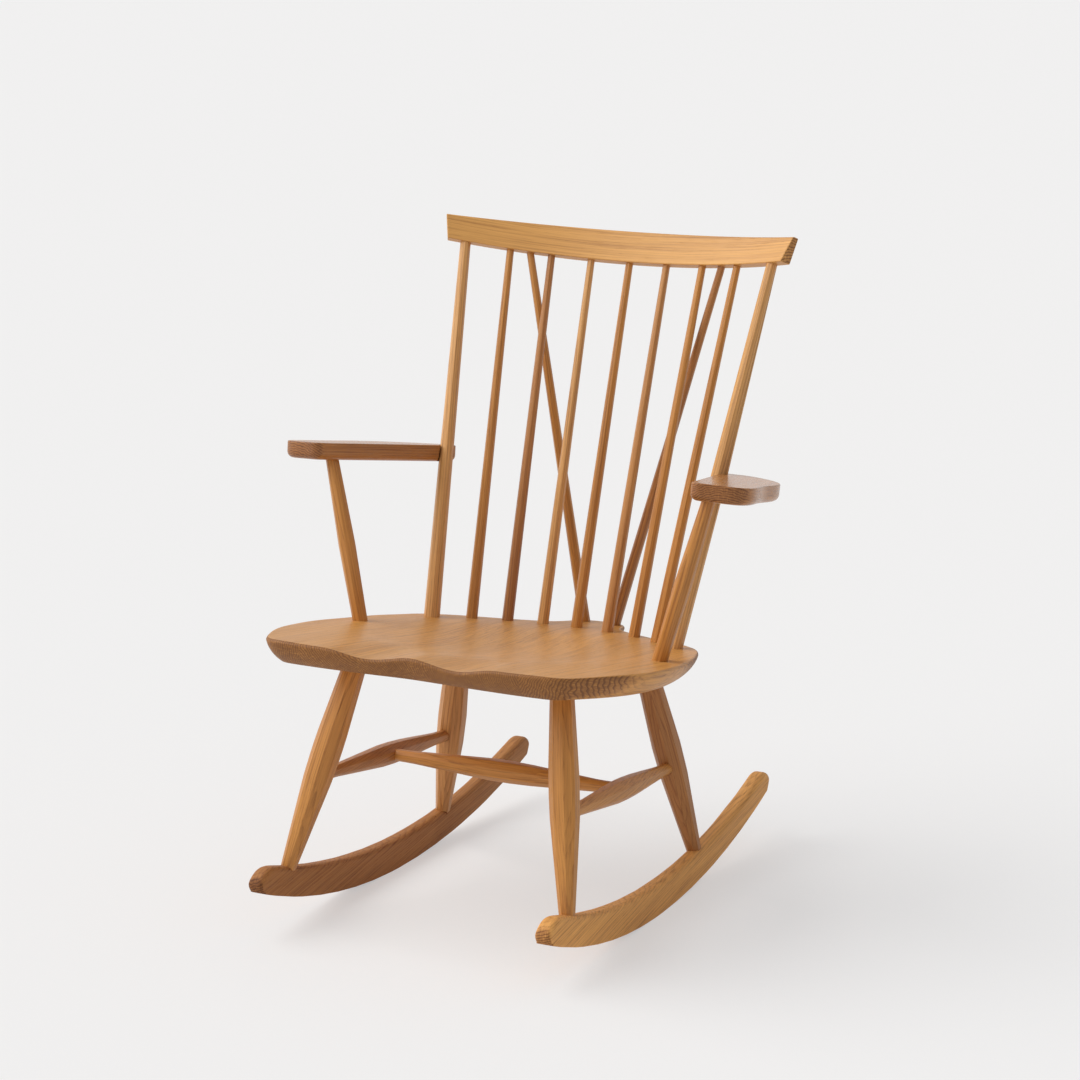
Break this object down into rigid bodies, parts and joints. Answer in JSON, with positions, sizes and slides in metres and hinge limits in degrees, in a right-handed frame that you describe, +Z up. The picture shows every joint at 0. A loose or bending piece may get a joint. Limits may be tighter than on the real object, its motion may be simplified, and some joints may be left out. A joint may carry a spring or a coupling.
{
  "type": "comb-back rocking chair",
  "caption": "Wooden comb-back rocking chair with a carved saddle seat, splayed faceted legs on rockers, tapered spindles, a curved crest rail, back braces and flat arms.",
  "frame": {"origin": "on the floor, about half-way between the two ends of the rockers, on the plane of symmetry", "axes": "+Z up, -Y the way the sitter faces, X across the chair with +X at the right-hand side seen from the front"},
  "size_m": [0.7558, 0.8003, 0.9644],
  "materials": {
    "oak": "satin oiled honey oak"
  },
  "bodies": {
    "root": {"crest_rail": "oak", "left_back_post": "oak", "right_back_post": "oak", "spindle_1": "oak", "spindle_2": "oak", "spindle_3": "oak", "spindle_4": "oak", "spindle_5": "oak", "spindle_6": "oak", "spindle_7": "oak", "left_brace_spindle": "oak", "right_brace_spindle": "oak", "left_arm": "oak", "right_arm": "oak", "left_arm_post": "oak", "right_arm_post": "oak", "left_arm_dowel": "oak", "right_arm_dowel": "oak", "seat_board_1": "oak", "seat_board_2": "oak", "seat_board_3": "oak", "seat_board_4": "oak", "seat_board_5": "oak", "seat_board_6": "oak", "front_left_leg": "oak", "front_right_leg": "oak", "back_left_leg": "oak", "back_right_leg": "oak", "left_side_stretcher": "oak", "right_side_stretcher": "oak", "cross_stretcher": "oak", "left_rocker": "oak", "right_rocker": "oak"}
  },
  "joints": []
}
